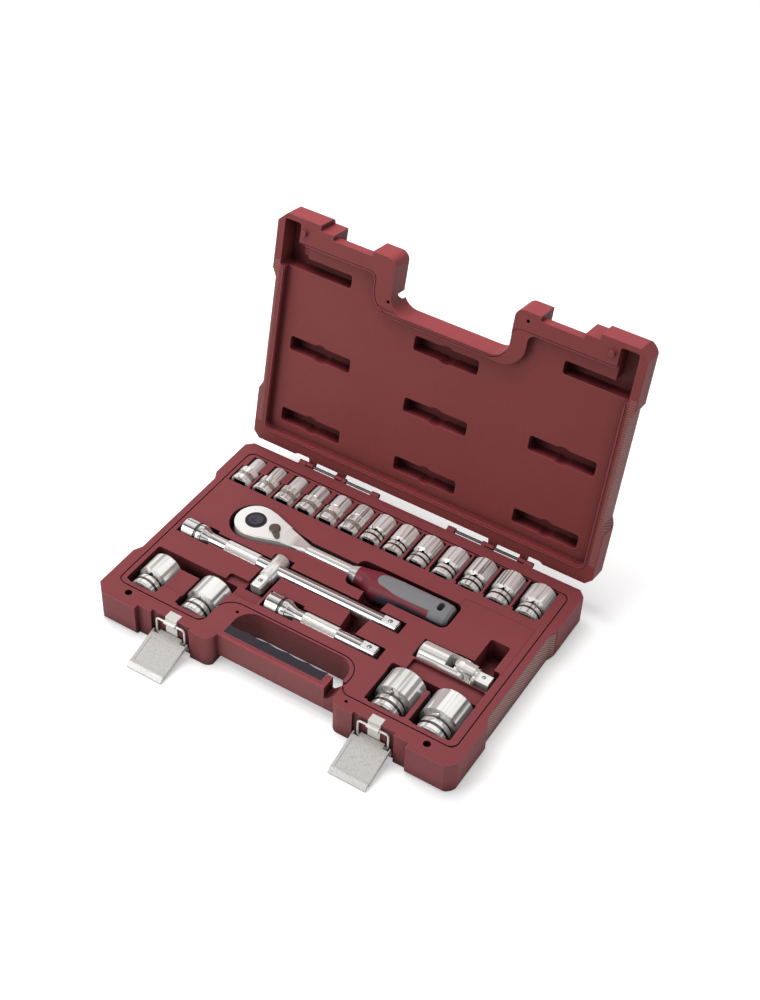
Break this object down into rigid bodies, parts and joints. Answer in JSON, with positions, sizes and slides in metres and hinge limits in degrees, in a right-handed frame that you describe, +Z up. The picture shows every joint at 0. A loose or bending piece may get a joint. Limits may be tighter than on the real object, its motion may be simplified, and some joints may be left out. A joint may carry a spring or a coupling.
{
  "type": "socket wrench set in case",
  "caption": "Socket wrench set in a hinged maroon plastic case with draw latches and a hand opening; sockets, ratchet, extension bars, T piece and universal joint in a moulded tray.",
  "frame": {"origin": "centre of the base's underside, on the table", "axes": "+X to the right along the case, +Y to the hinges at the back, +Z up; the handle and latches face -Y"},
  "size_m": [0.395, 0.3769, 0.2902],
  "materials": {
    "tray_plastic": "fine-grained blow-moulded polyethylene, dark maroon",
    "lid_plastic": "fine-grained blow-moulded polyethylene, dark maroon",
    "pad_rubber": "soft matt grip rubber",
    "rod_steel": "dark drawn steel wire",
    "latch_zinc": "zinc-plated pressed steel, satin",
    "chrome_steel": "bright chrome-plated chrome-vanadium steel",
    "ball_steel": "hardened steel ball",
    "gear_steel": "blackened steel",
    "button_black": "dark moulded push button",
    "lever_steel": "satin nickel-plated casting",
    "cover_steel": "satin steel plate",
    "grip_red": "red grip plastic",
    "grip_grey": "grey soft-touch grip rubber",
    "grip_slate": "dark slate grip rubber"
  },
  "bodies": {
    "case": {"base_shell": "tray_plastic", "grip_bar_pad": "pad_rubber", "hinge_rod_left": "rod_steel", "hinge_rod_right": "rod_steel", "latch_strap_left": "latch_zinc", "latch_strap_right": "latch_zinc", "strap_rivets": "latch_zinc"},
    "lid": {"lid_shell": "lid_plastic"},
    "left_bail": {"latch_bail_left": "latch_zinc"},
    "right_bail": {"latch_bail_right": "latch_zinc"},
    "left_lever": {"latch_lever_left": "latch_zinc"},
    "right_lever": {"latch_lever_right": "latch_zinc"},
    "long_bar": {"long_extension": "chrome_steel"},
    "long_bar_ball": {"long_extension_ball": "ball_steel"},
    "short_bar": {"short_extension": "chrome_steel"},
    "short_bar_ball": {"short_extension_ball": "ball_steel"},
    "tee": {"sliding_tee": "chrome_steel"},
    "tee_ball": {"sliding_tee_ball": "ball_steel"},
    "universal_socket": {"joint_socket": "chrome_steel"},
    "universal_cross": {"joint_cross": "chrome_steel"},
    "universal_drive": {"joint_drive": "chrome_steel"},
    "universal_ball": {"joint_ball": "ball_steel"},
    "ratchet": {"ratchet_body": "chrome_steel", "ratchet_cover": "cover_steel", "cover_screws": "cover_steel", "pawl_pin": "gear_steel", "grip_core": "grip_red", "grip_panel": "grip_grey", "grip_inlay": "grip_slate"},
    "gear": {"ratchet_gear": "gear_steel"},
    "gear_ball": {"ratchet_ball": "ball_steel"},
    "button": {"release_button": "button_black"},
    "lever": {"reverse_lever": "lever_steel"},
    "pawl": {"ratchet_pawl": "gear_steel"},
    "socket_10": {"socket_10": "chrome_steel"},
    "socket_11": {"socket_11": "chrome_steel"},
    "socket_12": {"socket_12": "chrome_steel"},
    "socket_13": {"socket_13": "chrome_steel"},
    "socket_14": {"socket_14": "chrome_steel"},
    "socket_15": {"socket_15": "chrome_steel"},
    "socket_16": {"socket_16": "chrome_steel"},
    "socket_17": {"socket_17": "chrome_steel"},
    "socket_18": {"socket_18": "chrome_steel"},
    "socket_19": {"socket_19": "chrome_steel"},
    "socket_20": {"socket_20": "chrome_steel"},
    "socket_21": {"socket_21": "chrome_steel"},
    "socket_22": {"socket_22": "chrome_steel"},
    "socket_24": {"socket_24": "chrome_steel"},
    "socket_27": {"socket_27": "chrome_steel"},
    "socket_30": {"socket_30": "chrome_steel"},
    "socket_32": {"socket_32": "chrome_steel"}
  },
  "joints": [
    {"name": "lid_hinge", "type": "hinge", "parent": "case", "child": "lid", "pos_m": [0, 0.1327, 0.0352], "axis": [1, 0, 0], "range_deg": [0, 101.5]},
    {"name": "left_bail_hinge", "type": "hinge", "parent": "case", "child": "left_bail", "pos_m": [-0.112, -0.12147, 0.0315], "axis": [-1, 0, 0], "range_deg": [0, 180]},
    {"name": "left_lever_hinge", "type": "hinge", "parent": "left_bail", "child": "left_lever", "pos_m": [-0.112, -0.12147, 0.0122], "axis": [1, 0, 0], "range_deg": [0, 254]},
    {"name": "right_bail_hinge", "type": "hinge", "parent": "case", "child": "right_bail", "pos_m": [0.112, -0.12147, 0.0315], "axis": [-1, 0, 0], "range_deg": [0, 180]},
    {"name": "right_lever_hinge", "type": "hinge", "parent": "right_bail", "child": "right_lever", "pos_m": [0.112, -0.12147, 0.0122], "axis": [1, 0, 0], "range_deg": [0, 254]},
    {"name": "socket_10_lift", "type": "slide", "parent": "case", "child": "socket_10", "axis": [0, 0, -1], "range_m": [-0.06, 0]},
    {"name": "socket_11_lift", "type": "slide", "parent": "case", "child": "socket_11", "axis": [0, 0, -1], "range_m": [-0.06, 0]},
    {"name": "socket_12_lift", "type": "slide", "parent": "case", "child": "socket_12", "axis": [0, 0, -1], "range_m": [-0.06, 0]},
    {"name": "socket_13_lift", "type": "slide", "parent": "case", "child": "socket_13", "axis": [0, 0, -1], "range_m": [-0.06, 0]},
    {"name": "socket_14_lift", "type": "slide", "parent": "case", "child": "socket_14", "axis": [0, 0, -1], "range_m": [-0.06, 0]},
    {"name": "socket_15_lift", "type": "slide", "parent": "case", "child": "socket_15", "axis": [0, 0, -1], "range_m": [-0.06, 0]},
    {"name": "socket_16_lift", "type": "slide", "parent": "case", "child": "socket_16", "axis": [0, 0, -1], "range_m": [-0.06, 0]},
    {"name": "socket_17_lift", "type": "slide", "parent": "case", "child": "socket_17", "axis": [0, 0, -1], "range_m": [-0.06, 0]},
    {"name": "socket_18_lift", "type": "slide", "parent": "case", "child": "socket_18", "axis": [0, 0, -1], "range_m": [-0.06, 0]},
    {"name": "socket_19_lift", "type": "slide", "parent": "case", "child": "socket_19", "axis": [0, 0, -1], "range_m": [-0.06, 0]},
    {"name": "socket_20_lift", "type": "slide", "parent": "case", "child": "socket_20", "axis": [0, 0, -1], "range_m": [-0.06, 0]},
    {"name": "socket_21_lift", "type": "slide", "parent": "case", "child": "socket_21", "axis": [0, 0, -1], "range_m": [-0.06, 0]},
    {"name": "socket_22_lift", "type": "slide", "parent": "case", "child": "socket_22", "axis": [0, 0, -1], "range_m": [-0.06, 0]},
    {"name": "socket_24_lift", "type": "slide", "parent": "case", "child": "socket_24", "axis": [0, 0, -1], "range_m": [-0.06, 0]},
    {"name": "socket_27_lift", "type": "slide", "parent": "case", "child": "socket_27", "axis": [0, 0, -1], "range_m": [-0.06, 0]},
    {"name": "socket_30_lift", "type": "slide", "parent": "case", "child": "socket_30", "axis": [0, 0, -1], "range_m": [-0.06, 0]},
    {"name": "socket_32_lift", "type": "slide", "parent": "case", "child": "socket_32", "axis": [0, 0, -1], "range_m": [-0.06, 0]},
    {"name": "long_bar_lift", "type": "slide", "parent": "case", "child": "long_bar", "axis": [0, 0, -1], "range_m": [-0.07, 0]},
    {"name": "short_bar_lift", "type": "slide", "parent": "case", "child": "short_bar", "axis": [0, 0, -1], "range_m": [-0.07, 0]},
    {"name": "universal_lift", "type": "slide", "parent": "case", "child": "universal_socket", "axis": [0, 0, -1], "range_m": [-0.07, 0]},
    {"name": "ratchet_lift", "type": "slide", "parent": "case", "child": "ratchet", "axis": [0, 0, -1], "range_m": [-0.08, 0]},
    {"name": "long_bar_ball_detent", "type": "slide", "parent": "long_bar", "child": "long_bar_ball", "axis": [0, 0, 1], "range_m": [-0.0011, 0], "stiffness_N_per_m": 200},
    {"name": "short_bar_ball_detent", "type": "slide", "parent": "short_bar", "child": "short_bar_ball", "axis": [0, 0, 1], "range_m": [-0.0011, 0], "stiffness_N_per_m": 200},
    {"name": "tee_ball_detent", "type": "slide", "parent": "tee", "child": "tee_ball", "axis": [0, 0, 1], "range_m": [-0.0011, 0], "stiffness_N_per_m": 200},
    {"name": "universal_ball_detent", "type": "slide", "parent": "universal_drive", "child": "universal_ball", "axis": [0, 0, 1], "range_m": [-0.0011, 0], "stiffness_N_per_m": 200},
    {"name": "gear_ball_detent", "type": "slide", "parent": "gear", "child": "gear_ball", "axis": [1, 0, 0], "range_m": [-0.001, 0]},
    {"name": "tee_slide", "type": "slide", "parent": "long_bar", "child": "tee", "axis": [1, 0, 0], "range_m": [-0.0006, 0.0021]},
    {"name": "universal_bend", "type": "hinge", "parent": "universal_socket", "child": "universal_cross", "pos_m": [0.1445, -0.021, 0.0318], "axis": [0, 1, 0], "range_deg": [-45, 0]},
    {"name": "universal_turn", "type": "hinge", "parent": "universal_cross", "child": "universal_drive", "pos_m": [0.1445, -0.021, 0.0318], "axis": [0, 0, 1], "range_deg": [-14, 14]},
    {"name": "drive_spin", "type": "hinge", "parent": "ratchet", "child": "gear", "pos_m": [-0.1205, 0.0305, 0.0305], "axis": [0, 0, 1], "continuous": true},
    {"name": "release_press", "type": "slide", "parent": "gear", "child": "button", "axis": [0, 0, -1], "range_m": [0, 0.002], "stiffness_N_per_m": 400},
    {"name": "reverse_turn", "type": "hinge", "parent": "ratchet", "child": "lever", "pos_m": [-0.098, 0.0305, 0.0305], "axis": [0, 0, 1], "range_deg": [0, 80]},
    {"name": "pawl_rock", "type": "hinge", "parent": "ratchet", "child": "pawl", "pos_m": [-0.098, 0.0305, 0.0305], "axis": [0, 0, 1], "range_deg": [0, 4]}
  ],
  "couplings": [
    {"joint": "left_lever_hinge", "follows": "left_bail_hinge", "ratio": 1.4111},
    {"joint": "right_lever_hinge", "follows": "right_bail_hinge", "ratio": 1.4111},
    {"joint": "gear_ball_detent", "follows": "release_press", "ratio": -0.5},
    {"joint": "pawl_rock", "follows": "reverse_turn", "ratio": 0.05}
  ]
}
